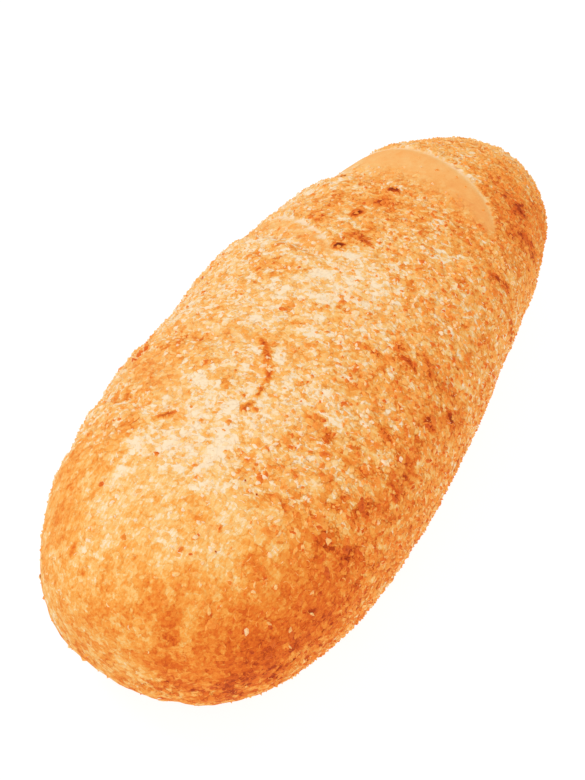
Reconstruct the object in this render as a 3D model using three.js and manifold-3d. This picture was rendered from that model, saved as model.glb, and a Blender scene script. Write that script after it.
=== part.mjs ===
// A whole-wheat bran loaf, baked on a tray: one solid, long and rounded, with four shallow scores across its crown.
//
// Frame: millimetres, +Z up. The origin is the centre of the base, +X runs along the loaf from its broad end to its
// narrow end, and +Y points to the flank on which the scores opened. The loaf rests on the plane Z = 0.

import * as THREE from "three";
import { ParametricGeometry } from "three/addons/geometries/ParametricGeometry.js";
import { mergeVertices } from "three/addons/utils/BufferGeometryUtils.js";
import Module from "manifold-3d";

// ---- Driving dimensions, in millimetres ----

const LENGTH = 280; // tip to tip
const WIDTH = 119; // across the broadest station
const HEIGHT = 74; // crown above the base

const BROADEST_X = -29; // the broadest station is nearer the broad end
const WAIST_Z = 0.42 * HEIGHT; // where the flanks stand out furthest
const UNDERSIDE_DEPTH = 1.3 * WAIST_Z; // how deep the dough would sag below the waist if no tray held it

const BROAD_END_POWER = 2.54; // superellipse powers of the plan outline: above 2 is blunter than an ellipse
const NARROW_END_POWER = 2.38;
const CROWN_POWER = 2.25; // of the cross-section above the waist
const UNDERSIDE_POWER = 2.4; // and below it
const END_FULLNESS = 0.8; // below 1, the height holds up further towards the tips than the width does

const BOW = -5.9; // the centre line bends this far sideways at both tips
const SWAY = -6.5; // and this much more at the narrow tip, and less at the broad one

// Each score is a straight cut across the crown that opened towards the narrow end. x is where it crosses y = 0, skew
// its slope dx/dy, and middle and reach its span in y. It opened by breadth into a bay, half an ellipse in plan, which
// is depth deep at the cut and runs out at the far rim. lip is how far the dough on the other side of the cut rose.
const SCORES = [
  { x: 63.8, skew: 0.25, middle: 3, reach: 40, breadth: 30.5, depth: 4.2, lip: 1.0 },
  { x: 5.5, skew: 0.4, middle: 36, reach: 33, breadth: 15, depth: 3.0, lip: 1.2 },
  { x: -43, skew: 0, middle: 38, reach: 34, breadth: 6, depth: 1.6, lip: 0.8 },
  { x: -85, skew: 0.3, middle: 46, reach: 36, breadth: 22, depth: 2.4, lip: 1.2 },
];
const WALL = 3; // how far the steep wall of a cut spreads
const LIP_SPREAD = 12; // how far back from the cut the risen lip fades out
const RIM_STEP = 0.5; // height of the torn edge of the skin round a bay

// Slow waves from shaping the dough by hand: height, then half-turns over the loaf's length and round it, and phase.
const WAVES = [
  { height: 0.9, along: 2.6, around: 2, phase: 0.7 },
  { height: 0.6, along: 4.3, around: 3, phase: 2.1 },
];

// Mesh fineness: stations along the loaf and points round each.
const STATIONS = 76;
const POINTS_ROUND = 60;

// ---- Shape ----

const signedPower = (value, power) => Math.sign(value) * Math.abs(value) ** power;

/** Plan half-width at x, as a share of the greatest: two half superellipses that meet at the broadest station. */
function fullness(x) {
  const broad = x < BROADEST_X;
  const reach = broad ? LENGTH / 2 + BROADEST_X : LENGTH / 2 - BROADEST_X;
  const power = broad ? BROAD_END_POWER : NARROW_END_POWER;
  const share = Math.min(1, Math.abs(x - BROADEST_X) / reach);
  return (1 - share ** power) ** (1 / power);
}

/** How far a score moves the crust outwards at the plan point x, y. */
function scoreRelief(score, x, y) {
  const across = (y - score.middle) / score.reach;
  if (Math.abs(across) >= 1) return 0;
  const opening = Math.sqrt(1 - across * across);
  const ahead = x - score.x - score.skew * y; // distance past the cut, towards the narrow end
  const breadth = score.breadth * opening;
  const fade = opening * opening;
  if (ahead < 0) {
    const wall = -score.depth * Math.exp(-((ahead / WALL) ** 2));
    const lip = score.lip * Math.exp(ahead / LIP_SPREAD) * (1 - Math.exp(ahead / WALL));
    return (wall + lip) * fade;
  }
  if (ahead >= breadth) return 0;
  const run = 1 - ahead / breadth;
  return -(RIM_STEP * opening + (score.depth - RIM_STEP) * run ** 1.5 * fade);
}

/** The height of the slow waves at x and at the angle round the section. */
function waveRelief(x, angle) {
  return WAVES.reduce((sum, wave) => {
    const along = (Math.PI * wave.along * x) / LENGTH;
    return sum + wave.height * Math.sin(along + wave.phase) * Math.cos(wave.around * angle + wave.phase);
  }, 0);
}

/**
 * The loaf before the tray flattens it. u runs from the narrow tip to the broad tip and v once round the section,
 * from the +Y flank over the crown. Each section is a superellipse above the waist and another below it, and the
 * relief moves its points out from the middle of the waist.
 */
function loafSurface(u, v, target) {
  const x = (LENGTH / 2) * Math.cos(Math.PI * u);
  const angle = 2 * Math.PI * v;
  const full = fullness(x);
  const rise = Math.sin(angle) >= 0 ? HEIGHT - WAIST_Z : UNDERSIDE_DEPTH;
  const power = 2 / (Math.sin(angle) >= 0 ? CROWN_POWER : UNDERSIDE_POWER);
  let sideways = (WIDTH / 2) * full * signedPower(Math.cos(angle), power);
  let upwards = rise * full ** END_FULLNESS * signedPower(Math.sin(angle), power);

  const radius = Math.hypot(sideways, upwards);
  if (radius > 0) {
    const onCrown = Math.max(0, Math.sin(angle)) ** 0.5;
    const scored = SCORES.reduce((sum, score) => sum + scoreRelief(score, x, sideways), 0);
    const scale = 1 + (full * (onCrown * scored + waveRelief(x, angle))) / radius;
    sideways *= scale;
    upwards *= scale;
  }
  const along = (2 * x) / LENGTH;
  target.set(x, sideways + BOW * along ** 2 + SWAY * along ** 3, WAIST_Z + upwards);
}

// ---- Solid ----

const wasm = await Module();
wasm.setup();

/** A closed three.js geometry as a manifold-3d solid: equal corners are merged and the collapsed triangles dropped. */
function toSolid(geometry) {
  const bare = geometry.clone();
  bare.deleteAttribute("normal");
  bare.deleteAttribute("uv");
  const merged = mergeVertices(bare, 1e-3);
  const corners = merged.index.array;
  const kept = [];
  for (let i = 0; i < corners.length; i += 3) {
    const [a, b, c] = corners.subarray(i, i + 3);
    if (a !== b && b !== c && c !== a) kept.push(a, b, c);
  }
  return new wasm.Manifold(
    new wasm.Mesh({
      numProp: 3,
      vertProperties: new Float32Array(merged.getAttribute("position").array),
      triVerts: new Uint32Array(kept),
    }),
  );
}

/** A manifold-3d solid as a three.js geometry. */
function toGeometry(solid) {
  const { vertProperties, triVerts } = solid.getMesh();
  const geometry = new THREE.BufferGeometry();
  geometry.setAttribute("position", new THREE.BufferAttribute(vertProperties, 3));
  geometry.setIndex(new THREE.BufferAttribute(triVerts, 1));
  geometry.computeVertexNormals();
  return geometry;
}

/**
 * The loaf with everything below the tray's plane cut away, which leaves its flat base. The bow and the scores leave
 * its box a little off the axis, so it is moved sideways until the origin is the middle of the box.
 */
function bakedLoaf() {
  const dough = toSolid(new ParametricGeometry(loafSurface, STATIONS, POINTS_ROUND));
  const tray = new THREE.BoxGeometry(2 * LENGTH, 2 * WIDTH, HEIGHT);
  tray.translate(0, 0, -HEIGHT / 2);
  const baked = toGeometry(dough.subtract(toSolid(tray)));
  baked.computeBoundingBox();
  const middle = baked.boundingBox.getCenter(new THREE.Vector3());
  return baked.translate(-middle.x, -middle.y, 0);
}

const crust = new THREE.MeshStandardMaterial({ color: 0xd8945a, roughness: 0.8, metalness: 0 });
const loaf = new THREE.Mesh(bakedLoaf(), crust);
loaf.name = "loaf";

const part = new THREE.Group();
part.add(loaf);

export default part;
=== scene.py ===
# %% [markdown]
# # A whole-wheat loaf with a bran crust
# The loaf is one baked thing: a long, rounded crust, broader at one end, with four shallow scores across
# its crown and thousands of bran flakes stuck to its skin. The frame gives its place and its size. This
# lesson makes the crust as one closed surface of two parameters, scatters the flakes on it as small closed
# solids, and mixes the baked colours from the same few masks, so that shape, bran and colour agree
# everywhere, also where nobody looks at first.

# %% Load the frame
import itertools
import math

import bpy
import numpy as np
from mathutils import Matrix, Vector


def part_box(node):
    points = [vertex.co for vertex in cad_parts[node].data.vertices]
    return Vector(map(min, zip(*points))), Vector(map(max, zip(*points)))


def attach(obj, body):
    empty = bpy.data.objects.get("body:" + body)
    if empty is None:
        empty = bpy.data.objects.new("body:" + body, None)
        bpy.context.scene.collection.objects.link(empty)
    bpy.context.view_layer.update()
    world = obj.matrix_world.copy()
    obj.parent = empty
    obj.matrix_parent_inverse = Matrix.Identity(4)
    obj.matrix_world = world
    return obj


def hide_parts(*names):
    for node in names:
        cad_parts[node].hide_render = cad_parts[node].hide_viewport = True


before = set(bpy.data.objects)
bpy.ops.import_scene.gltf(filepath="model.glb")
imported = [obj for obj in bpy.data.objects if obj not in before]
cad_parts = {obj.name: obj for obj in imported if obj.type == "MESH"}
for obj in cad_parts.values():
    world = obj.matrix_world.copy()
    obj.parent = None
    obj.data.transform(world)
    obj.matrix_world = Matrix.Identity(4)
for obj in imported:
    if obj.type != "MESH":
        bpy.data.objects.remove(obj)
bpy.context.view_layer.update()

box_low, box_high = np.array(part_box("loaf")) * 1000
LENGTH, WIDTH, HEIGHT = box_high - box_low
print(f"frame: the loaf is {LENGTH:.1f} by {WIDTH:.1f} by {HEIGHT:.1f} mm")

# %% [markdown]
# ## Units and helpers
# A baker measures a loaf in millimetres, so the shape is worked out in millimetres and turned into metres
# in one place, where the numbers become a mesh. Steps that fade softly from 0 to 1 are needed for nearly
# every mask.

# %% Helpers
MM = 0.001
TINY = 1e-9  # keeps a length of nothing out of the divisions


def fade(value, start, end):
    """0 before start and 1 after end, with a soft step between: 3 s squared minus 2 s cubed."""
    share = np.clip((value - start) / (end - start), 0, 1)
    return share * share * (3 - 2 * share)


def signed_power(value, power):
    """The value's size to a power, with its sign kept."""
    return np.sign(value) * np.abs(value) ** power


def unit(vectors):
    """The vectors, each divided by its length."""
    return vectors / np.maximum(np.linalg.norm(vectors, axis=-1, keepdims=True), TINY)


def make_piece(name, points, faces, places, smooth=True):
    """A mesh object from points in millimetres and faces as lists of point numbers. places is its flat map,
    one place for each corner of each face."""
    mesh = bpy.data.meshes.new(name)
    mesh.from_pydata((points * MM).tolist(), [], faces)
    mesh.polygons.foreach_set("use_smooth", np.full(len(mesh.polygons), smooth))
    mesh.uv_layers.new(name="OFBake").uv.foreach_set("vector", places.astype(np.float32).ravel())
    piece = bpy.data.objects.new(name, mesh)
    bpy.context.scene.collection.objects.link(piece)
    print(f"{name}: {len(points)} points, {len(mesh.polygons)} faces")
    return piece


def add_mask(piece, name, values):
    """Stores one number for each point of the piece, for its material to read."""
    mask = piece.data.attributes.new(name, "FLOAT", "POINT")
    mask.data.foreach_set("value", np.asarray(values, np.float32).ravel())


# %% [markdown]
# ## Random relief
# Dough never dries smooth. Its dents and blisters are random, but neighbouring points move together. Random
# numbers on the corners of a grid of cubes, eased from corner to corner, give just that, and they need no
# seam, because the cubes fill space and the loaf only cuts through them.

# %% Relief from a grid of random numbers
LATTICE_CELLS = 64


def lumps(points, cell, seed):
    """Smooth random numbers between -1 and 1: the eight corners of the cube of side cell that holds a point
    each have a random number, and the point takes their mean, weighted by how near it is to each along every
    axis."""
    lattice = np.random.default_rng(seed).uniform(-1, 1, (LATTICE_CELLS,) * 3)
    place = points / cell
    corner = np.floor(place).astype(int)
    ease = fade(place - corner, 0, 1)
    total = 0
    for step in itertools.product((0, 1), repeat=3):
        weight = np.prod(np.where(step, ease, 1 - ease), axis=-1)
        index = (corner + step) % LATTICE_CELLS
        total = total + weight * lattice[index[..., 0], index[..., 1], index[..., 2]]
    return total


# %% [markdown]
# ## The shape of the dough
# From above, the loaf is two half superellipses that meet at its broadest station, one for the blunt end
# and one for the longer, narrower end. Across, each section is a superellipse above the waist and another
# below it. A superellipse is an ellipse whose squares are replaced by another power, so one number sets how
# blunt it is.

# %% Outline and section
BROADEST_X = -29  # the broadest station is nearer the broad end
WAIST_Z = 0.42 * HEIGHT  # where the flanks stand out furthest
UNDERSIDE_DEPTH = 1.3 * WAIST_Z  # how deep the dough would sag below the waist if no tray held it
BROAD_END_POWER, NARROW_END_POWER = 2.54, 2.38
CROWN_POWER, UNDERSIDE_POWER = 2.25, 2.4
END_FULLNESS = 0.8  # below 1, the height holds up further towards the tips than the width does
BOW, SWAY = -5.9, -6.5  # how far the centre line bends sideways at both tips, and more at the narrow one
END_SKEW = 0.015  # the blunt end is baked a little askew: x per y
WAVES = ((0.9, 2.6, 2, 0.7), (0.6, 4.3, 3, 2.1))  # height, half-turns along and round the loaf, phase
# Lobes and dents: x, degrees round the section from +Y over the top, reach in x, reach in degrees, height.
LOBES = (
    (-120, 20, 12, 35, -0.9),
    (-83, 35, 13, 30, -1.4),
    (-28, 35, 18, 30, -0.9),
    (6, 42, 16, 35, 1.4),
    (50, 42, 13, 30, -1.8),
    (77, 48, 9, 28, -1.8),
    (101, 55, 10, 30, 1.4),
    (30, 190, 26, 40, -1.9),
    (-12, 190, 14, 40, -0.8),
    (62, 175, 10, 35, -0.7),
    (112, 160, 9, 30, 1.5),
    (128, 140, 6, 35, -1.2),
)


def fullness(x):
    """The half-width at x as a share of the greatest: 1 minus the distance from the broadest station to a
    power, all to one over that power."""
    broad = x < BROADEST_X
    reach = np.where(broad, LENGTH / 2 + BROADEST_X, LENGTH / 2 - BROADEST_X)
    power = np.where(broad, BROAD_END_POWER, NARROW_END_POWER)
    share = np.minimum(1, np.abs(x - BROADEST_X) / reach)
    return (1 - share**power) ** (1 / power)


def section(x, angle):
    """The plain section at x: cosine and sine of the angle, each to 2 over the section's power, times the
    width and height there. Returns how far each point lies sideways and upwards from the middle of the
    waist."""
    on_top = np.sin(angle) >= 0
    rise = np.where(on_top, HEIGHT - WAIST_Z, UNDERSIDE_DEPTH)
    power = 2 / np.where(on_top, CROWN_POWER, UNDERSIDE_POWER)
    sideways = WIDTH / 2 * fullness(x) * signed_power(np.cos(angle), power)
    upwards = rise * fullness(x) ** END_FULLNESS * signed_power(np.sin(angle), power)
    return sideways, upwards


# %% [markdown]
# ## The scores
# Before baking, a blade is drawn across the crown. In the oven each cut opens towards the narrow end and
# bares a bay of new skin, half an ellipse from above, steep at the cut and running out at its far rim. All
# four are the same shape with different numbers, and two of them hardly opened.

# %% Scores
# x where the cut crosses the middle, slope dx/dy, middle and reach in y, breadth of the bay, depth, lip, how
# bald the bay is
SCORES = (
    (63.8, 0.25, 8, 46, 30.5, 4.6, 1.4, 1.0),
    (5.5, 0.4, 36, 33, 15, 3.0, 1.2, 0.6),
    (-43, 0.0, 38, 34, 6, 1.6, 0.8, 0.3),
    (-85, 0.3, 46, 36, 22, 2.4, 1.2, 0.3),
)
WALL = 3.5  # how far the steep wall of a cut spreads
LIP_SPREAD = 12  # how far back from the cut the risen lip fades out
RIM_STEP = 0.5  # height of the torn edge of the skin round a bay


def score_places(score, x, y):
    """How far each point lies past the cut, the bay's breadth there, and its opening, 1 in the middle of the
    cut and 0 at its ends: the square root of 1 minus the square of the distance across."""
    start, skew, middle, reach, breadth = score[:5]
    opening = np.sqrt(np.maximum(0, 1 - ((y - middle) / reach) ** 2))
    return x - start - skew * y, breadth * opening, opening


def score_relief(score, x, y):
    """Before the cut, a bell-shaped wall down and a lip that fades out backwards. Past it, a floor that
    climbs back with the distance left to the rim, to the power 1.5, and ends in a small step."""
    depth, lip = score[5:7]
    ahead, breadth, opening = score_places(score, x, y)
    back = np.minimum(ahead, 0)
    wall = -depth * np.exp(-((back / WALL) ** 2))
    risen = lip * np.exp(back / LIP_SPREAD) * (1 - np.exp(back / WALL))
    run = np.clip(1 - ahead / np.maximum(breadth, TINY), 0, 1)
    bay = -(RIM_STEP * opening + (depth - RIM_STEP) * run**1.5 * opening**2) * (ahead < breadth)
    return np.where(ahead < 0, (wall + risen) * opening**2, bay)


# %% [markdown]
# ## The crust
# The surface has two parameters: the station along the loaf and the angle round it. Even steps of either
# would crowd the points at the tips, so both are spread evenly along the outline instead: many short chords
# are summed, and the sum is read backwards. Two single points close the tips.

# %% Even steps along an outline
STATIONS, POINTS_ROUND = 330, 290
CHORDS = 4000  # enough to measure along an outline with


def even_steps(outline, end, count):
    """count + 1 parameters from 0 to end that divide an outline, given as a function, into equal lengths."""
    fine = np.linspace(0, end, CHORDS + 1)
    across, up = outline(fine)
    run = np.concatenate(([0], np.cumsum(np.hypot(np.diff(across), np.diff(up)))))
    return np.interp(np.linspace(0, run[-1], count + 1), run, fine)


def plan_outline(turn):
    """The outline from above: x is minus half the length times the cosine of the turn."""
    x = -LENGTH / 2 * np.cos(turn)
    return x, WIDTH / 2 * fullness(x)


def broadest_outline(angle):
    """The outline of the section at the broadest station."""
    return section(np.full_like(angle, BROADEST_X), angle)


turns = even_steps(plan_outline, math.pi, STATIONS + 1)[1:-1]
angles = even_steps(broadest_outline, 2 * math.pi, POINTS_ROUND)[:-1]
print(f"crust: {len(turns)} stations of {len(angles)} points")

# %% The smooth crust
def smooth_crust(turns, angles):
    """Sections at x = minus half the length times the cosine of the turn, whose points the scores, the slow
    waves and the lobes move out from the middle of the waist. The centre line bends with the square and the
    cube of x, and the broad end leans forwards or back by its skew times y."""
    x, angle = np.meshgrid(-LENGTH / 2 * np.cos(turns), angles, indexing="ij")
    sideways, upwards = section(x, angle)
    on_crown = np.maximum(0, np.sin(angle)) ** 0.5
    relief = on_crown * sum(score_relief(score, x, sideways) for score in SCORES)
    for height, along, around, phase in WAVES:
        wave = np.sin(math.pi * along * x / LENGTH + phase)
        relief = relief + height * wave * np.cos(around * angle + phase)
    for at_x, at_turn, reach_x, reach_turn, height in LOBES:
        away = np.abs(np.degrees(angle) - at_turn)
        away = np.minimum(away, 360 - away)
        relief = relief + height * np.exp(-(((x - at_x) / reach_x) ** 2) - (away / reach_turn) ** 2)
    scale = 1 + fullness(x) * relief / np.hypot(sideways, upwards)
    along = 2 * x / LENGTH
    y = sideways * scale + BOW * along**2 + SWAY * along**3
    askew = x - END_SKEW * sideways * fade(-x, 70, 140)
    return np.stack((askew, y, WAIST_Z + upwards * scale), axis=-1), sideways * scale


grid, from_centre = smooth_crust(turns, angles)
tips = np.array([[end * LENGTH / 2, BOW + SWAY * end, WAIST_Z] for end in (-1, 1)])
smooth_points = np.concatenate((grid.reshape(-1, 3), tips))
flat_y = np.concatenate((from_centre.ravel(), (0, 0)))  # y from the bent centre line, which scores follow
print(f"smooth crust: {len(smooth_points)} points, crown at {smooth_points[:, 2].max():.1f} mm")

# %% Faces of a closed tube
def fan(middle, start, end):
    """Triangles from the point numbered middle to each pair of start and end."""
    return np.stack((np.full(len(start), middle), start, end), axis=-1)


def tube_faces(rings, sides):
    """The faces of rings of points, whose last two points close the ends: quads between neighbouring rings,
    and a fan of triangles at each end. They face out if the rings turn right-handed about the way they go."""
    start = np.arange(rings * sides).reshape(rings, sides)
    after = np.roll(start, -1, axis=1)
    quads = np.stack((start[:-1], after[:-1], after[1:], start[1:]), axis=-1).reshape(-1, 4)
    first, last = fan(rings * sides, after[0], start[0]), fan(rings * sides + 1, start[-1], after[-1])
    return quads, np.concatenate((first, last))


def tube_map(rings, sides):
    """The flat map of those faces: the ring number across and the side number up, as shares of the whole."""
    ring, side = np.meshgrid(np.arange(1, rings), np.arange(sides), indexing="ij")
    quads = np.stack([(ring + a, side + b) for a, b in ((0, 0), (0, 1), (1, 1), (1, 0))], axis=-1)
    quads = quads.transpose(1, 2, 3, 0).reshape(-1, 4, 2)
    k, ones = np.arange(sides), np.ones(sides)
    first = np.stack((0 * ones, k + 0.5, ones, k + 1, ones, k), axis=-1)
    last = np.stack(((rings + 1) * ones, k + 0.5, rings * ones, k, rings * ones, k + 1), axis=-1)
    fans = np.concatenate((first, last)).reshape(-1, 3, 2)
    return quads / (rings + 1, sides), fans / (rings + 1, sides)


def halved(quads):
    """Each quad as two triangles, in two runs."""
    return np.concatenate((quads[:, [0, 2, 3]], quads[:, :3]))


# %% Faces of the crust
quads, fans = tube_faces(len(turns), len(angles))
triangles = np.concatenate((halved(quads), fans))
print(f"crust: {len(quads)} quads, {len(triangles)} triangles once they are split")


def point_normals(points):
    """The mean of the outward normals of the triangles round each point, weighted by their areas."""
    a, b, c = (points[triangles[:, k]] for k in range(3))
    normals = np.cross(b - a, c - a)
    total = np.zeros_like(points)
    for k in range(3):
        np.add.at(total, triangles[:, k], normals)
    return unit(total)


# %% [markdown]
# ## Masks
# A few numbers say what each spot of the crust is like. **baked** is how dark it is, from 0 for floury
# white to 1 for burnt; low on the narrow half and near the tray it also holds painted glow of the white
# table. **bald** is 1 on new skin in a score's bay, which has no bran. **stretched** is 1 where the skin is
# drawn into fine lines along the loaf, and **folded** where it lies in fine folds across it. **scorch**,
# which also carries painted shade of slits and pits, and **rim** follow further down. They could be painted
# by hand, but formulas of x, y and z stay sharp at any size. The same masks steer relief, bran and colour,
# so the three always agree.

# %% Where the crust is darker or paler
# Large soft patches of the crown and its shoulders: x, y, reach in x, reach in y, how much darker
BAKED_PATCHES = (
    (-66, -6, 22, 16, -0.07), (-5, -8, 24, 16, -0.1), (-94, 10, 18, 16, -0.07),
    (-108, -4, 12, 16, 0.07), (-109, -29, 7, 6, 0.08), (-131, -14, 12, 18, 0.14),
    (-92, 34, 16, 14, 0.06), (38, 36, 16, 10, 0.06), (-106, -50, 16, 8, 0.18),
    (-64, -52, 14, 8, 0.1), (132, -6, 10, 24, -0.05), (112, -32, 9, 9, -0.02),
    (104, -46, 14, 8, 0.1), (38, 24, 14, 10, 0.06), (48, 2, 26, 24, 0.17),
    (50, 36, 20, 12, -0.05), (84, -34, 24, 16, 0.28), (110, 0, 18, 24, 0.12),
    (-62, 38, 18, 12, 0.14), (-106, 32, 18, 14, 0.17), (-118, -44, 20, 16, 0.14),
    (-90, -46, 12, 8, 0.07), (-50, -54, 30, 8, 0.12), (-15, -42, 20, 12, 0.07),
    (-131, -15, 5, 3, 0.1), (-136, -18, 5, 6, 0.18), (-72, -22, 7, 6, 0.18),
    (-81, 22, 6, 6, 0.15), (46, -37, 6, 5, 0.12), (-18, -57, 6, 4, 0.12),
    (-99, -16, 6, 5, -0.12), (110, -24, 6, 5, 0.12), (3, -44, 6, 5, -0.1),
    (-3, 24, 6, 5, 0.1), (-72, 9, 6, 5, -0.1), (-131, -20, 6, 1.2, -0.2),
)

# The same for the small marks of scorched bran and of flour. The dark ones on the slits and pits also carry
# their painted shade.
MARKS = (
    (-17, -32.5, 3, 2, 0.3), (-20, -37.5, 2, 3, 0.3), (-24.5, -28, 2, 2, 0.25),
    (-42, -29, 2, 2.5, 0.3), (-38.5, -32.5, 1.5, 2, 0.25), (-60, -24.5, 2, 3, 0.3),
    (-14, -10, 2, 2, 0.35), (-28, -1, 2.5, 3, 0.3), (-21, 5, 2, 2.5, 0.25),
    (-63, -29.5, 2, 2, 0.25), (-66, -38, 2, 2.5, 0.3), (-65, -43, 1.5, 2, 0.3),
    (-60.5, -51, 2, 2.5, 0.25), (-75, -36, 2.5, 2.5, 0.25), (-41, 18, 1.5, 1.5, 0.35),
    (-46, 25, 2, 1.5, 0.25), (-92, -43, 2.5, 3, 0.25), (-108, -30, 3, 3, 0.12),
    (42, -45, 2, 3, 0.3), (44, -50, 2, 3, 0.3), (62, -36, 2.5, 2.5, 0.25),
    (76, -47, 2.5, 3, 0.35), (90, -39.5, 3, 2, 0.3), (25, 0.5, 5, 1.5, 0.25),
    (48, 6, 3, 8, 0.12), (-40, 2.5, 3, 2, 0.2), (-57, -46, 2.2, 2.6, -0.22),
    (-29.5, -5.5, 2, 4, -0.25), (-29, 5, 1.5, 3, -0.2), (0, 3, 2.5, 4, -0.25),
    (13, 1.5, 2.5, 4, -0.3), (-64, 14, 2.5, 5, -0.2), (-86, -4, 4, 3, -0.2),
    (-80, -6, 4, 3, -0.2), (-96, 20, 14, 2.5, -0.2), (59.5, 3, 3.5, 3, 0.2),
    (51, 3, 3, 2.5, 0.18), (40, 9, 3, 3, 0.36), (16.5, 5.5, 3.5, 3.5, 0.26),
    (32, 20, 3.5, 3, 0.18), (27, 3, 5, 3, 0.2), (-13.5, -41.5, 2, 2, 0.3),
    (-17, -46, 2, 2.5, 0.3), (-16, -51, 1.8, 2.5, 0.3), (-32, -50.5, 2, 2.5, 0.3),
    (-48.5, -42, 2.2, 2.2, 0.3), (-50.5, -51.5, 1.8, 3, 0.3), (-73.5, -47, 2.2, 3, 0.3),
    (-91, -24.5, 3, 2, 0.1), (-90, -30.5, 2.5, 2.5, 0.12), (-87.5, -48, 2.5, 2.5, 0.12),
    (86, -39.5, 4, 3, 0.2), (70, -43.5, 2.5, 2.5, 0.2),
)


# %% Masks of the crust
PLAIN_BAKE = 0.185  # how dark the crust is where nothing else acts
RAGGED = 1.6  # how far lumps push the outline of a small mark
SIDE_FOLDS = ((-66, 38, 17, 17, 1), (16, 30, 9, 14, 1))  # beside two of the cuts


def patches(table, x, y):
    """The sum of bell-shaped patches in plan: strength times e to minus the squared distances over the
    reaches."""
    return sum(
        strength * np.exp(-(((x - at_x) / reach_x) ** 2) - ((y - at_y) / reach_y) ** 2)
        for at_x, at_y, reach_x, reach_y, strength in table
    )


def bald_mask(x, y, z):
    """1 on the floor of a bay and 0 past its cut and rim, with soft edges that small lumps roughen."""
    roughness = 0.9 * lumps(np.stack((x, y, z), axis=-1), 2.5, 21)
    total = 0
    for score in SCORES:
        ahead, breadth, opening = score_places(score, x, y)
        share = ahead / np.maximum(breadth, TINY)
        inside = fade(share + 0.06 * roughness, 0.05, 0.6) * (1 - fade(ahead, breadth - 1.2, breadth + 0.4))
        baldness = score[7]
        total = np.maximum(total, baldness * inside * fade(opening, 0.1, 0.5))
    return total * fade(z, 0.5 * HEIGHT, 0.62 * HEIGHT)


def baked_and_glow_mask(x, y, z):
    """Darker on the -Y shoulder and at the broad tip, paler near the tray and low on the narrow half, partly
    as crust baked less there and partly as painted glow of the white table and background, and dark again
    underneath. The patches are added to that, and the marks, whose outlines are ragged."""
    right, shoulder = fade(-y, 10, 53), np.exp(-(((z / HEIGHT - 0.6) / 0.3) ** 2))
    broad_end, broad_tip = fade(-x, 60, 130), fade(-x, 110, 140)
    near_tray, under = 1 - fade(z, 5, 24), 1 - fade(z, 0.5, 5)
    low_tip = broad_tip * (1 - fade(z, 25, 60))
    narrow_low = fade(x, -40, 60) * (1 - fade(z, 12, 50))
    base = PLAIN_BAKE + 0.13 * right + broad_tip * (0.13 + 0.3 * right) + 0.32 * broad_end * right * shoulder
    # Paler low down: partly crust baked less near the tray, partly painted glow of the white table and
    # background.
    base = base - 0.1 * narrow_low - 0.06 * near_tray * (1 - 2 * broad_end) + 0.3 * under
    base = base + low_tip * (0.04 + 0.07 * right)
    ragged_x, ragged_y = (RAGGED * lumps(np.stack((x, y, z), axis=-1), 1.8, seed) for seed in (31, 32))
    marks = patches(BAKED_PATCHES, x, y) + 1.2 * patches(MARKS, x + ragged_x, y + ragged_y)
    return base + marks * fade(z, 0.2 * HEIGHT, 0.5 * HEIGHT)


def stretched_mask(x, y, z):
    """Skin drawn into fine lines along the loaf: the broad end."""
    return fade(-x, 84, 104) * fade(z, 0.3 * HEIGHT, 0.6 * HEIGHT)


def folded_mask(x, y, z):
    """Skin laid in fine folds across the loaf, in the places that SIDE_FOLDS names."""
    return np.clip(patches(SIDE_FOLDS, x, y), 0, 1) * fade(z, 0.3 * HEIGHT, 0.6 * HEIGHT)


def all_masks(points, y_flat):
    """Every mask at these points. The scores follow y from the bent centre line."""
    x, y, z = points.T
    return {
        "bald": bald_mask(x, y_flat, z),
        "baked": baked_and_glow_mask(x, y, z),
        "stretched": stretched_mask(x, y, z),
        "folded": folded_mask(x, y, z),
    }


masks = all_masks(smooth_points, flat_y)
print("masks:", {name: round(float(mask.mean()), 2) for name, mask in masks.items()})

# %% [markdown]
# ## Scorched lines with painted shade, and wrinkles
# Where two folds of dough meet and where gas breaks through, the skin tears, dries and scorches. From
# above, each place is a short line with a bell-shaped section, so one function draws them all. Their dark
# colour tells most of it: partly the skin's own scorch and partly painted shade of the slit or pit, which
# the shape doesn't cut, and the hard burnt skin stands a little proud. The wrinkles are lumps at three
# sizes, and they are flatter on bald skin and near the tray.

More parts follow.
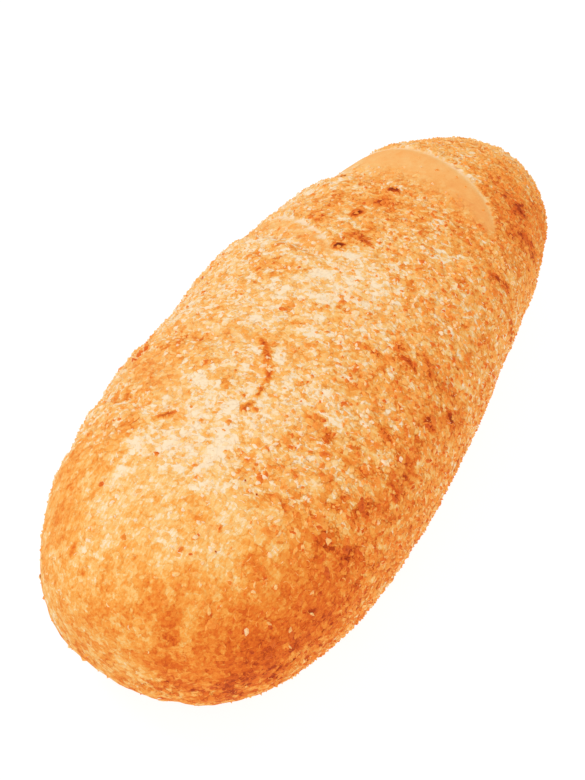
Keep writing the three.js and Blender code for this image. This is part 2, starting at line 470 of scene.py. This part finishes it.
# %% Scorched lines, with painted shade of slits and pits
# x, y, turn in degrees from +X towards +Y, half-length, half-width, strength
SCORCHES_AND_PITS = (
    (59.5, 3, -60, 2.4, 1.6, 1.4), (51, 3, -60, 2.4, 1.3, 0.9), (40, 9, -60, 1.8, 1.8, 1.5),
    (16.5, 5.5, -60, 2.6, 2, 1.5), (24, -1, 62, 5, 1, 0.7), (32, 20, -60, 2.4, 1.2, 0.45),
    (57, -20, 60, 2.4, 1.4, 0.4), (0, 23, -60, 1.4, 1.2, 0.5), (-16.5, -33.5, -60, 2, 1.4, 0.9),
    (-19.5, -38, 60, 3.6, 0.9, 0.7), (-15.5, -43, 40, 3, 1.1, 0.7), (-22, -24, -60, 1.3, 1, 0.4),
    (-22, -54.5, -60, 1.2, 1.3, 1.3), (-32, -51, 20, 2.4, 1.2, 0.7), (88, -39.5, 60, 2.6, 1.1, 0.9),
    (68, -42, 0, 1.5, 1.4, 0.7), (80, -48, 60, 2.2, 1.1, 0.7), (42, -46, -60, 1.5, 1.2, 0.7),
    (37, -56, 0, 1.8, 1.8, 0.8), (-108, -28, 50, 1.6, 1.2, 0.25), (-87, -49, 0, 1.8, 1.4, 0.3),
    (-125.5, 20.5, 10, 2, 1, 0.55), (-130, 14, 60, 1, 0.9, 0.5), (-128, -9, 60, 2.4, 1, 0.22),
    (-78, 17.5, -50, 3.8, 0.9, 1.1), (-44, 24, 94, 16, 1.1, 0.25), (-40.5, 4.5, 50, 4, 1.2, 0.9),
    (-45.5, -0.5, 38, 4, 1.2, 1), (-52, -3.7, 12, 4.5, 1.1, 0.9), (-59, -4.7, 0, 4, 1.2, 1),
    (-66.5, -4.3, -8, 2.8, 1.6, 1.1),
)


def scorch_and_pit_shade_mask(points):
    """How scorched each point is, and how much painted shade of a slit or pit it carries: bells across and
    along each short line, which lumps bend a little, on the upper half only."""
    x, y, z = points.T
    wander = 0.7 * lumps(points, 4, 4)
    total = np.zeros(len(points))
    for at_x, at_y, degrees, half_length, half_width, strength in SCORCHES_AND_PITS:
        turn = math.radians(degrees)
        along = (x - at_x) * math.cos(turn) + (y - at_y) * math.sin(turn)
        across = (y - at_y) * math.cos(turn) - (x - at_x) * math.sin(turn) + wander
        bell = np.exp(-((along / half_length) ** 4) - (across / half_width) ** 2)
        total = np.maximum(total, strength * bell)
    return total * (z > WAIST_Z)


print(f"scorched lines: {len(SCORCHES_AND_PITS)}")

# %% Rough crust
SCORCH_HEIGHT = 0.5  # how far scorched skin stands out where its strength is 1
RIM_SPREAD, RIM_DEPTH = 1.6, 0.55


def wrinkles(points, bald):
    """How far the skin is pressed in: lumps of three sizes, calmer where it is bald and near the tray."""
    uneven = 0.5 * lumps(points, 13, 1) + 0.3 * lumps(points, 5.5, 2) + 0.22 * lumps(points, 2.4, 3)
    return uneven * (1 - 0.75 * bald) * fade(points[:, 2], 2, 14)


def bay_rims(points, y_flat):
    """The pale line pressed into the far arc of each of the two widest bays: a narrow bell across it."""
    x, _, z = points.T
    total = 0
    for score in SCORES[:2]:
        ahead, breadth, opening = score_places(score, x, y_flat)
        line = np.exp(-(((ahead - breadth + 1.4) / RIM_SPREAD) ** 2))
        total = np.maximum(total, line * fade(opening, 0.15, 0.6))
    return total * fade(z, 0.5 * HEIGHT, 0.62 * HEIGHT)


masks["rim"] = bay_rims(smooth_points, flat_y)
masks["scorch"] = scorch_and_pit_shade_mask(smooth_points)
relief = SCORCH_HEIGHT * masks["scorch"] - RIM_DEPTH * masks["rim"] - wrinkles(smooth_points, masks["bald"])
rough_points = smooth_points + point_normals(smooth_points) * relief[:, None]
print(f"relief: from {relief.min():.1f} to {relief.max():.1f} mm")

# %% [markdown]
# ## The flat base
# The tray holds the dough up, so everything below its plane becomes flat. A hard cut would leave a knife
# edge, and a real loaf has a soft one, so the height is bent smoothly: the mean of the height and the
# square root of its square plus a small radius squared. Last, the crust is fitted to the frame's box
# exactly.

# %% Flatten the base, fit the box and make the crust
EDGE_SOFTNESS = 2.0


def fitted(points):
    """The points, moved and scaled along each axis so that their box is the frame's box."""
    low, high = points.min(axis=0), points.max(axis=0)
    return box_low + (points - low) * (box_high - box_low) / (high - low)


height = rough_points[:, 2]
rough_points[:, 2] = (height + np.sqrt(height**2 + EDGE_SOFTNESS**2)) / 2
crust_points = fitted(rough_points)
crust_normals = point_normals(crust_points)
faces = quads.tolist() + fans.tolist()
places = np.concatenate([part.reshape(-1, 2) for part in tube_map(len(turns), len(angles))])
crust = make_piece("loaf_crust", crust_points, faces, places)
for name, mask in masks.items():
    add_mask(crust, name, mask)

# %% [markdown]
# ## Scattering bran
# Bran sticks where the dough was damp, so its density is a mask too. To scatter flakes, triangles of the
# crust are drawn at random with a chance of area times density, and a random spot is taken in each. Each
# flake is a crumpled lens, a ring of uneven corners between a middle that stands out and one that is sunk
# into the skin: closed, and only 18 faces.

# %% Scatter places
ORDER = 0.8  # 0 would turn the flakes every way alike, and more lays more of them across the loaf


def at_spots(values, corners, shares):
    """The values of the crust's points, read inside triangles with these corners, as means with these
    shares."""
    return np.einsum("ij,ij...->i...", shares, values[corners])


def own_frames(normals, rng):
    """Two directions along the skin for each place, and the normal. The first is random, but drawn to run
    across the loaf: ORDER times the X axis, either way, is added to the random vector that it is square
    to."""
    guide = rng.normal(size=normals.shape)
    guide = guide + ORDER * rng.choice((-1, 1), (len(normals), 1)) * np.array((1, 0, 0))
    along = unit(np.cross(unit(guide), normals))
    return along, np.cross(along, normals), normals


def scatter(count, density, rng):
    """Random places on the crust, each with its own directions and with the tone of the skin there."""
    a, b, c = (crust_points[triangles[:, k]] for k in range(3))
    area = np.linalg.norm(np.cross(b - a, c - a), axis=1) / 2
    chance = area * density[triangles].mean(axis=1)
    corners = triangles[rng.choice(len(triangles), count, p=chance / chance.sum())]
    first, second = rng.random((2, count))
    turned = first + second > 1
    first, second = np.where(turned, 1 - first, first), np.where(turned, 1 - second, second)
    shares = np.stack((1 - first - second, second, first), axis=-1)
    frames = own_frames(unit(at_spots(crust_normals, corners, shares)), rng)
    return at_spots(crust_points, corners, shares), frames, at_spots(masks["baked"], corners, shares)


# %% The shape of a flake
SIDES = 9
PEAK = 0.5  # the raised middle stands out this far, and 1.2 times the thickness further


def tiled_map(count, corners):
    """A flat map of equal tiles in rows, one for each solid. The corners are given as shares of a tile."""
    per_row = math.ceil(math.sqrt(count))
    tile = np.stack((np.arange(count) % per_row, np.arange(count) // per_row), axis=-1)
    return ((tile[:, None] + corners) / per_row).reshape(-1, 2)


def flake_map(count):
    """Each flake has a tile of the flat map: its sunken fan on the left, its raised one on the right."""
    turn = 2 * np.pi * np.arange(SIDES + 1) / SIDES
    ring = 0.5 + 0.42 * np.stack((np.cos(turn), np.sin(turn)), axis=-1)
    middle = np.full((SIDES, 2), 0.5)
    sunken = np.stack((middle, ring[:-1], ring[1:]), axis=1) * (0.5, 1)
    raised = np.stack((middle, ring[1:], ring[:-1]), axis=1) * (0.5, 1) + (0.5, 0)
    return tiled_map(count, np.concatenate((sunken, raised)).reshape(1, -1, 2))


def flake_faces(count):
    """For each flake a fan of triangles round its sunken middle, and another round its raised one."""
    k = np.arange(SIDES)
    after = (k + 1) % SIDES
    pattern = np.concatenate((fan(SIDES, k, after), fan(SIDES + 1, after, k)))
    return (pattern + (SIDES + 2) * np.arange(count)[:, None, None]).reshape(-1, 3).tolist()


def flake_points(places, frames, lengths, breadths, thickness, tilt, rng):
    """Corner k of a flake lies at the angle 2 pi k over SIDES on an ellipse of its length and breadth, drawn
    in or pushed out a little, and is sunk or raised by the tilt. One middle is sunk, the other stands out."""
    along, across, normal = (direction[:, None] for direction in frames)
    count = len(places)
    turn = 2 * np.pi * (np.arange(SIDES) + rng.uniform(-0.3, 0.3, (count, SIDES))) / SIDES
    radius = rng.uniform(0.55, 1.1, (count, SIDES))
    forwards = (lengths[:, None] / 2 * radius * np.cos(turn))[..., None]
    sideways = (breadths[:, None] / 2 * radius * np.sin(turn))[..., None]
    slope = rng.normal(0, tilt, (count, 2, 1, 1))
    thick = thickness[:, None, None]
    uneven = rng.uniform(-0.25, 0.25, (count, SIDES, 1))
    sink = 0.35 * thick + slope[:, 0] * forwards + slope[:, 1] * sideways + thick * uneven
    ring = places[:, None] + along * forwards + across * sideways - normal * sink
    sunken = places[:, None] - normal * thick * rng.uniform(0.5, 1.1, (count, 1, 1))
    raised = places[:, None] + normal * (PEAK + 1.2 * thick)
    return np.concatenate((ring, sunken, raised), axis=1).reshape(-1, 3)


# %% Pieces of many flakes
SHORTEST, LONGEST = 0.4, 2.6  # as shares of the middle length


def scatter_flakes(name, seed, count, density, length, slimness, thickness, tilt, darker):
    """One piece of many flakes. length is the middle and the spread of their lengths, slimness the least and
    the most breadth as a share of the length, and darker how much darker than the skin they are, which counts
    for less on dark skin and towards the narrow end. The outer corners take less of it than the middles, so
    that the edge of a flake blends with the skin."""
    rng = np.random.default_rng(seed)
    places, frames, skin = scatter(count, density, rng)
    lengths = rng.lognormal(math.log(length[0]), length[1], count)
    lengths = np.clip(lengths, SHORTEST * length[0], LONGEST * length[0])
    breadths = lengths * rng.uniform(*slimness, count)
    thick = rng.uniform(*thickness, count)
    points = flake_points(places, frames, lengths, breadths, thick, tilt, rng)
    piece = make_piece(name, points, flake_faces(count), flake_map(count), smooth=False)
    contrast = rng.uniform(*darker, count) * (1.15 - skin) * (1 - 0.5 * fade(places[:, 0], 20, 110))
    outer, middles = rng.uniform(0.1, 1.1, (count, SIDES)), np.full((count, 2), 1.2)
    add_mask(piece, "baked", skin[:, None] + contrast[:, None] * np.hstack((outer, middles)))
    return piece


def placed_flakes(name, seed, table, thickness, tilt):
    """Flakes at given places of the crown, each on the nearest point of the crust."""
    rng = np.random.default_rng(seed)
    at_x, at_y, lengths, breadths, tones = np.array(table).T
    crown = np.flatnonzero(crust_points[:, 2] > WAIST_Z)
    away = np.hypot(crust_points[crown, 0] - at_x[:, None], crust_points[crown, 1] - at_y[:, None])
    nearest = crown[away.argmin(axis=1)]
    frames = own_frames(crust_normals[nearest], rng)
    thick = rng.uniform(*thickness, len(table))
    points = flake_points(crust_points[nearest], frames, lengths, breadths, thick, tilt, rng)
    piece = make_piece(name, points, flake_faces(len(table)), flake_map(len(table)), smooth=False)
    add_mask(piece, "baked", np.repeat(tones, SIDES + 2))
    return piece


# %% Bran on the crust
x, y, _ = smooth_points.T
upper = fade(crust_points[:, 2], 1.5, 9)
smooth_end = np.clip(masks["stretched"] + 0.5 * masks["folded"] + fade(-x, 96, 118), 0, 1)
flaky = upper * (1 - 0.98 * masks["bald"]) * (1 - masks["rim"]) * (1 - 0.7 * smooth_end)
flaky = flaky * (1 - 0.9 * fade(-x, 118, 134))
dark_side = flaky * (0.2 + 0.8 * fade(-y, -10, 35))

golden_bran = scatter_flakes(
    "golden_bran", seed=11, count=5600, density=flaky, length=(1.95, 0.35), slimness=(0.45, 0.9),
    thickness=(0.08, 0.2), tilt=0.07, darker=(-0.08, 0.14),
)
dark_bran = scatter_flakes(
    "dark_bran", seed=12, count=2000, density=dark_side, length=(2.2, 0.35), slimness=(0.4, 0.9),
    thickness=(0.08, 0.24), tilt=0.08, darker=(0.16, 0.52),
)
pale_bran = scatter_flakes(
    "pale_bran", seed=13, count=2800, density=flaky, length=(1.8, 0.35), slimness=(0.35, 0.9),
    thickness=(0.08, 0.22), tilt=0.1, darker=(-0.36, -0.1),
)

# %% [markdown]
# ## Large flakes
# A few flakes stand out by themselves: pale oat-like ones at the broad end and on the -Y side, slender pale
# ones low on the broad end, a reddish clump that stands up from the +Y flank, and four nearly black specks.
# Chance wouldn't put them there, so they are listed one by one.

# %% Flakes listed one by one
# x, y, length, breadth, tone
LARGE_FLAKES = (
    (-95, -27.5, 2.6, 1.8, 0.1), (-104, -32, 2.4, 1.6, 0.1), (-121.5, -34, 3.4, 2.4, 0.13),
    (-114, -32, 2.4, 1.5, 0.16), (-109, -37, 2.6, 1.5, 0.18), (-75, -18, 3, 1.4, 0),
    (-57, -46, 3.4, 2.8, 0.02), (-51, -49, 2.4, 1.6, 0.05), (-89, -43.5, 3.4, 2.6, 0.2),
    (-110, -12, 2.2, 1.6, 0.1), (-116, -17, 2, 1.4, 0.1), (-72, -51.5, 2.6, 1.1, 0.12),
    (-105.5, -46.5, 2.8, 1, 0.2), (-103, -45, 2.2, 0.9, 0.2), (-112.5, -43, 2.6, 1, 0.2),
    (-116.5, -38, 2.6, 1.1, 0.2), (-114.5, -44, 2.4, 0.9, 0.2), (-78, -53, 2.6, 1, 0.2),
    (-93, -53.5, 2.4, 0.9, 0.25), (-55, 45, 4.6, 2.8, 0.75), (-53, 44, 4.2, 2.6, 0.7),
    (-50, 43, 4.4, 2.4, 0.8), (-51, 45, 3.6, 2.4, 0.65), (-89, -16, 1.1, 0.7, 1),
    (-91, -21, 0.9, 0.7, 1), (-111, -19, 0.9, 0.6, 1), (-22, -54.5, 1.3, 0.9, 1),
)
large_flakes = placed_flakes("large_flakes", 15, LARGE_FLAKES, (0.3, 0.6), 0.18)

# %% [markdown]
# ## Curly fibres
# On the -Y flank, and most of all low on the broad end, thin slivers of bran husk lie half in the skin
# and curl up at both ends. Each is a short bent rod with pointed ends: rings of four corners along an arc,
# thickest in the middle and closed by a single point at each end.

# %% The shape of a fibre
RINGS, RING_CORNERS = 4, 4
FIBRE_POINTS = RINGS * RING_CORNERS + 2
MAP_GAP = 0.04  # the bare edge of a tile of the flat map


def fibre_map(count):
    """Each fibre has a tile of the flat map, with the rings along it and the corners of the rings across."""
    walls, fans = tube_map(RINGS, RING_CORNERS)
    corners = np.concatenate((halved(walls).reshape(-1, 2), fans.reshape(-1, 2)))
    return tiled_map(count, MAP_GAP + (1 - 2 * MAP_GAP) * corners)


def fibre_faces(count):
    """For each fibre the faces of a closed tube, with its walls split into triangles."""
    walls, fans = tube_faces(RINGS, RING_CORNERS)
    pattern = np.concatenate((halved(walls), fans))
    return (pattern + FIBRE_POINTS * np.arange(count)[:, None, None]).reshape(-1, 3).tolist()


def fibre_points(places, frames, lengths, radius, rng):
    """The middle line is an arc: s along, bend times s squared across, and it dips by one minus s squared.
    The ring at s has a radius that shrinks with s squared."""
    along, across, normal = (direction[:, None] for direction in frames)
    count = len(places)
    s = np.linspace(-1, 1, RINGS + 2)[None, :, None]
    half = lengths[:, None, None] / 2
    bend = rng.uniform(-0.7, 0.7, (count, 1, 1))
    dip = rng.uniform(0.1, 0.45, (count, 1, 1))
    line = places[:, None] + half * (along * s + across * bend * s**2 + normal * (0.1 - dip * (1 - s**2)))
    turn = 2 * np.pi * np.arange(RING_CORNERS)[:, None] / RING_CORNERS
    circle = across[:, :, None] * np.cos(turn) - normal[:, :, None] * np.sin(turn)
    thin = radius[:, None, None, None] * (1 - 0.6 * s[:, 1:-1, None] ** 2)
    rings = (line[:, 1:-1, None] + circle * thin).reshape(count, -1, 3)
    return np.concatenate((rings, line[:, :1], line[:, -1:]), axis=1).reshape(-1, 3)


# %% One piece of many fibres
def scatter_fibres(name, seed, count, density, length, radius, darker):
    """One piece of many fibres, made as scatter_flakes makes flakes."""
    rng = np.random.default_rng(seed)
    places, frames, skin = scatter(count, density, rng)
    lengths, radii = rng.uniform(*length, count), rng.uniform(*radius, count)
    points = fibre_points(places, frames, lengths, radii, rng)
    piece = make_piece(name, points, fibre_faces(count), fibre_map(count), smooth=False)
    add_mask(piece, "baked", np.repeat(skin + rng.uniform(*darker, count), FIBRE_POINTS))
    return piece


right_of_broad_end = fade(-x, 70, 110) * fade(-y, 20, 45)
curly = upper * (1 - masks["bald"]) * (0.15 + fade(-y, 0, 40)) * (1 + 2 * right_of_broad_end)
fibres = scatter_fibres(
    "husk_fibres", seed=14, count=2600, density=curly, length=(1.1, 2.4), radius=(0.13, 0.26),
    darker=(-0.35, -0.05),
)

# %% [markdown]
# ## Shader maths as Python
# A material is a small program drawn as nodes. Written as Python expressions it is much easier to read, so
# one class wraps a socket and lets plus, minus and times add the Math nodes. Colours go through Mix nodes.

# %% A socket that can be used in sums
class Value:
    """A number, or a colour or vector, that one output of a node gives. Sums with it add Math nodes."""

    def __init__(self, finish, socket):
        self.finish = finish
        self.socket = socket

    def math(self, operation, *values):
        return self.finish.node("ShaderNodeMath", {"operation": operation}, dict(enumerate(values)))

    def __add__(self, other):
        return self.math("ADD", self, other)

    def __radd__(self, other):
        return self.math("ADD", other, self)

    def __sub__(self, other):
        return self.math("SUBTRACT", self, other)

    def __rsub__(self, other):
        return self.math("SUBTRACT", other, self)

    def __mul__(self, other):
        return self.math("MULTIPLY", self, other)

    def __rmul__(self, other):
        return self.math("MULTIPLY", other, self)


def shade(red, green, blue):
    """A colour as a screen shows it, 0 to 255, turned into the linear light that materials use."""
    parts = np.array((red, green, blue)) / 255
    linear = np.where(parts <= 0.04045, parts / 12.92, ((parts + 0.055) / 1.055) ** 2.4)
    return (*linear.tolist(), 1)


class Finish:
    """A material whose nodes are added one by one."""

    def __init__(self, name):
        self.material = bpy.data.materials.new(name)
        self.material.use_nodes = True
        self.tree = self.material.node_tree
        self.surface = self.tree.nodes["Principled BSDF"]

    def link(self, socket, value):
        """Links a value to a socket, or sets the socket to a plain number or colour."""
        if isinstance(value, Value):
            self.tree.links.new(value.socket, socket)
        else:
            socket.default_value = value

    def set_stops(self, ramp, stops):
        """Gives a colour ramp these places and colours."""
        for _ in stops[2:]:
            ramp.elements.new(0.5)
        for element, (place, colour) in zip(ramp.elements, stops):
            element.position = place
            element.color = colour

    def node(self, kind, settings=None, inputs=None, output=0):
        """Adds a node, sets its settings and then its inputs, and gives one output."""
        made = self.tree.nodes.new(kind)
        for name, value in (settings or {}).items():
            if name == "stops":
                self.set_stops(made.color_ramp, value)
            else:
                setattr(made, name, value)
        for name, value in (inputs or {}).items():
            self.link(made.inputs[name], value)
        return Value(self, made.outputs[output])

    def mask(self, name):
        """The number that each point of the piece stores under this name."""
        return self.node("ShaderNodeAttribute", {"attribute_name": name}, output="Fac")

    def place(self, stretch=(1, 1, 1)):
        """Object coordinates in metres, stretched."""
        spot = self.node("ShaderNodeTexCoord", output="Object")
        return self.node("ShaderNodeMapping", {}, {"Vector": spot, "Scale": stretch})

    def noise(self, size, detail, place=None, rough=0.5):
        """Soft noise whose blotches are about size millimetres across, centred on 0.5."""
        inputs = {"Vector": place or self.place(), "Scale": 1000 / size, "Detail": detail, "Roughness": rough}
        return self.node("ShaderNodeTexNoise", {}, inputs, "Fac")

    def step(self, value, start, end):
        """0 below start and 1 above end, with a soft step between."""
        inputs = {"Value": value, "From Min": start, "From Max": end}
        return self.node("ShaderNodeMapRange", {"interpolation_type": "SMOOTHSTEP"}, inputs)

    def mix(self, factor, low, high, blend="MIX"):
        """A mix of two colours. The blend says how, and MULTIPLY darkens the low one by the high one."""
        settings = {"data_type": "RGBA", "blend_type": blend}
        return self.node("ShaderNodeMix", settings, {0: factor, 6: low, 7: high}, 2)

    def wear(self, piece):
        piece.data.materials.append(self.material)


# %% [markdown]
# ## The baked colours
# However dark a spot is baked, its colour lies on one line: floury cream, straw, gold, orange, chestnut. So
# every finish works out one number, the tone, and a colour ramp turns it into the colour. Skin and bran
# share the ramp, so they always belong together.

# %% From tone to colour
BAKED_COLOURS = (
    (0.0, shade(255, 230, 194)),
    (0.18, shade(253, 202, 125)),
    (0.36, shade(252, 173, 80)),
    (0.54, shade(244, 142, 51)),
    (0.72, shade(231, 111, 33)),
    (0.88, shade(214, 92, 26)),
    (1.0, shade(180, 67, 17)),
)
NEW_SKIN = shade(246, 182, 122)  # the pinkish skin that a score bares
# The darkest scorched lines: the skin's own scorch, and painted shade of the slits and pits that the shape
# doesn't cut.
SCORCHED_AND_SHADED = shade(135, 50, 15)
SHADE_IN_A_GAP = (0.68, 0.4, 0.2, 1)  # the share of the light that is left between two scales


def baked_colour(f, tone):
    """The colour of crust that is baked as dark as the tone says."""
    return f.node("ShaderNodeValToRGB", {"stops": BAKED_COLOURS}, {"Fac": tone})


# %% [markdown]
# ## The skin
# Fine bran lies in the skin like overlapping scales, each with its own tone. Cells of a Voronoi pattern at
# three sizes, whose borders noise makes ragged, give each scale one random number. Their sum is both the
# change of tone and the height of the bump, so scales that stand out catch the light as the real ones do.
# Some of the gaps between them are darkened with painted shade, where little light would fall. The drift
# of the bake, darker spots, drawn lines and folds are added to the same two sums.

# %% Scales, and painted shade in the gaps
ACROSS = (1.15, 0.9, 0.9)  # presses patterns together along the loaf, to make them longer across it
SCALE_SIZES = (3.6, 2.0, 1.1)


def ragged_place(f, size, amount):
    """Object coordinates, pressed by ACROSS and pushed about by noise of this size by up to amount
    millimetres."""
    push = f.node("ShaderNodeTexNoise", {}, {"Vector": f.place(), "Scale": 1000 / size, "Detail": 3}, "Color")
    inputs = {0: push, 1: (amount * MM,) * 3, 2: f.place(ACROSS)}
    return f.node("ShaderNodeVectorMath", {"operation": "MULTIPLY_ADD"}, inputs)


def ragged_cells(f, size, place):
    """One random number for each cell of about size millimetres."""
    colour = f.node("ShaderNodeTexVoronoi", {}, {"Vector": place, "Scale": 1000 / size}, "Color")
    return f.node("ShaderNodeSeparateColor", {}, {"Color": colour})


def crevice_shade(f, size, place):
    """1 in the thin gaps between some of the cells, where little light falls, and 0 elsewhere. It marks where
    shade is painted into the colour.
    """
    inputs = {"Vector": place, "Scale": 1000 / size}
    edge = f.node("ShaderNodeTexVoronoi", {"feature": "DISTANCE_TO_EDGE"}, inputs, "Distance")
    return (1 - f.step(edge, 0.02, 0.13)) * f.step(f.noise(4, 2), 0.42, 0.62)


# %% Crust material
def crust_finish():
    f = Finish("bran_crust")
    baked, bald, stretched = f.mask("baked"), f.mask("bald"), f.mask("stretched")
    scorch, rim, folded = f.mask("scorch"), f.mask("rim"), f.mask("folded")
    calm = (1 - 0.85 * bald) * (1 - 0.45 * stretched)

    # The patterns, all at their own sizes.
    place = ragged_place(f, 1.6, 2.2)
    large, middling, small = (ragged_cells(f, size, place) for size in SCALE_SIZES)
    # The thin gaps between some scales, whose colour gets painted shade.
    shaded_gaps = crevice_shade(f, SCALE_SIZES[1], place) * calm * (1 - 0.7 * stretched)
    drift, patch, grain = f.noise(20, 2), f.noise(6, 3, rough=0.55), f.noise(0.5, 2, rough=0.6)
    spots = f.step(f.noise(4, 3, rough=0.6), 0.58, 0.68) * calm
    lines = f.noise(0.75, 2, f.place((0.18, 1, 1)), 0.65)
    folds = f.noise(0.9, 2, f.place((1, 0.14, 0.25)), 0.6)

    # The tone. Patterns are centred on 0.5, so each is less a half before it is weighed.
    scales = (large - 0.5) * 0.24 + (middling - 0.5) * 0.32 + (small - 0.5) * 0.28
    tone = baked + scales * calm * (0.95 + 0.3 * baked) + (drift - 0.5) * 0.4
    tone = tone + (patch - 0.5) * 0.5 * (1 - 0.6 * bald) * (1 - 0.6 * stretched) + spots * 0.5 * baked
    tone = tone + (grain - 0.5) * 0.2 + (lines - 0.5) * stretched * 0.55
    tone = tone + bald * 0.7 * (0.32 - baked) - rim * 0.24
    # Scorched lines darken the tone, both as their own scorch and as painted shade of the slits and pits.
    tone = tone + scorch * 0.65 + (folds - 0.5) * folded * 0.5

    # The bump, from the same patterns.
    height = (large * 0.4 + middling * 0.35 + small * 0.25) * calm + grain * 0.12 + lines * stretched * 0.25
    height = height + folds * folded * 0.5 - shaded_gaps * 0.04
    bump = f.node("ShaderNodeBump", {}, {"Strength": 0.8, "Distance": 0.6 * MM, "Height": height})

    # The colour: new skin is pinker, the worst scorched lines are chestnut, as their own scorch and as
    # painted shade of the slits and pits, and little light leaves a gap.
    colour = f.mix(bald * 0.35, baked_colour(f, tone), NEW_SKIN)
    colour = f.mix(f.step(scorch, 0.75, 1.5), colour, SCORCHED_AND_SHADED)
    # Painted shade in the gaps between scales.
    colour = f.mix(shaded_gaps * (0.1 + 1.1 * baked), colour, SHADE_IN_A_GAP, "MULTIPLY")
    f.link(f.surface.inputs["Base Color"], colour)
    f.link(f.surface.inputs["Roughness"], 0.7 + 0.25 * grain)
    f.link(f.surface.inputs["Normal"], bump)
    f.surface.inputs["Specular IOR Level"].default_value = 0.12
    return f


skin = crust_finish()
skin.wear(crust)
print(f"bran_crust: {len(skin.tree.nodes)} nodes")

# %% [markdown]
# ## The bran
# Each flake carries the tone of the skin below it, made darker or paler by chance. The change is stored
# corner by corner and is weaker at the edge, so that a flake blends with the skin as damp bran does. Grain
# keeps any one flake from being one flat tone.

# %% Bran material
def bran_finish():
    f = Finish("bran_flake")
    grain = f.noise(0.7, 3, rough=0.65)
    f.link(f.surface.inputs["Base Color"], baked_colour(f, f.mask("baked") + (grain - 0.5) * 0.45))
    f.link(f.surface.inputs["Roughness"], 0.6 + 0.3 * grain)
    bump = f.node("ShaderNodeBump", {}, {"Strength": 0.5, "Distance": 0.3 * MM, "Height": grain})
    f.link(f.surface.inputs["Normal"], bump)
    f.surface.inputs["Specular IOR Level"].default_value = 0.2
    return f


bran = bran_finish()
bran_pieces = (golden_bran, dark_bran, pale_bran, large_flakes, fibres)
for piece in bran_pieces:
    bran.wear(piece)
print(f"bran_flake: {len(bran.tree.nodes)} nodes, on {len(bran_pieces)} pieces")

# %% Ride and replace
for piece in (crust, *bran_pieces):
    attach(piece, "root")
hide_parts("loaf")

# %% [markdown]
# ## Floor, light and camera
# The loaf lies on a white table in a white room, whose even light leaves hardly a shade. One soft light
# stands beyond the loaf on the left, and a larger, weaker one fills in from the near side. The table glows
# a little, because a real white sheet outshines bread, and it stays white where the loaf shades it.

# %% Floor
FLOOR_SIZE = 8.0
TABLE_GLOW = 0.86
bpy.ops.mesh.primitive_plane_add(size=FLOOR_SIZE, location=(0, 0, 0))
floor = bpy.context.object
floor.name = "floor"
white = Finish("white_table")
white.surface.inputs["Base Color"].default_value = (0.2, 0.2, 0.2, 1)
white.surface.inputs["Roughness"].default_value = 0.9
white.surface.inputs["Emission Color"].default_value = (1, 1, 1, 1)
white.surface.inputs["Emission Strength"].default_value = TABLE_GLOW
white.wear(floor)

# %% Camera
CAMERA_TURN = math.radians(27.5)  # from +X towards +Y
CAMERA_TILT = math.radians(46)  # downwards
CAMERA_DISTANCE = 0.391
TARGET = np.array((-0.0174, 0.0058, 0.0304))  # the middle of the picture, inside the loaf

ahead = np.array((math.cos(CAMERA_TURN), math.sin(CAMERA_TURN), 0))
left = np.array((-ahead[1], ahead[0], 0))
up = np.array((0, 0, 1))
view = ahead * math.cos(CAMERA_TILT) - up * math.sin(CAMERA_TILT)
lens = bpy.data.cameras.new("camera")
lens.lens = 50
lens.sensor_width = 36
lens.clip_start = 0.01
camera = bpy.data.objects.new("camera", lens)
camera.location = TARGET - view * CAMERA_DISTANCE
camera.rotation_euler = (math.pi / 2 - CAMERA_TILT, 0, CAMERA_TURN - math.pi / 2)
bpy.context.scene.collection.objects.link(camera)
bpy.context.scene.camera = camera
print(f"camera: {CAMERA_DISTANCE:.2f} m from the loaf's middle")

# %% Lights
def soft_light(name, place, size, power):
    """A square area light that points at the loaf."""
    lamp = bpy.data.lights.new(name, "AREA")
    lamp.size = size
    lamp.energy = power
    light = bpy.data.objects.new(name, lamp)
    light.location = place
    aim = unit(TARGET - np.array(place))
    light.rotation_euler = (math.acos(-aim[2]), 0, math.atan2(aim[1], aim[0]) - math.pi / 2)
    bpy.context.scene.collection.objects.link(light)
    print(f"{name}: {power} W from {np.round(place, 2)} m")


soft_light("key", ahead * 0.45 + left * 0.8 + up * 1.1, 0.6, 5)
soft_light("fill", -ahead * 0.9 - left * 0.15 + up * 0.9, 1.0, 3.5)

world = bpy.data.worlds.new("white_room")
world.use_nodes = True
world.node_tree.nodes["Background"].inputs["Color"].default_value = (1, 1, 1, 1)
world.node_tree.nodes["Background"].inputs["Strength"].default_value = 0.7
bpy.context.scene.world = world
bpy.context.scene.view_settings.view_transform = "Standard"
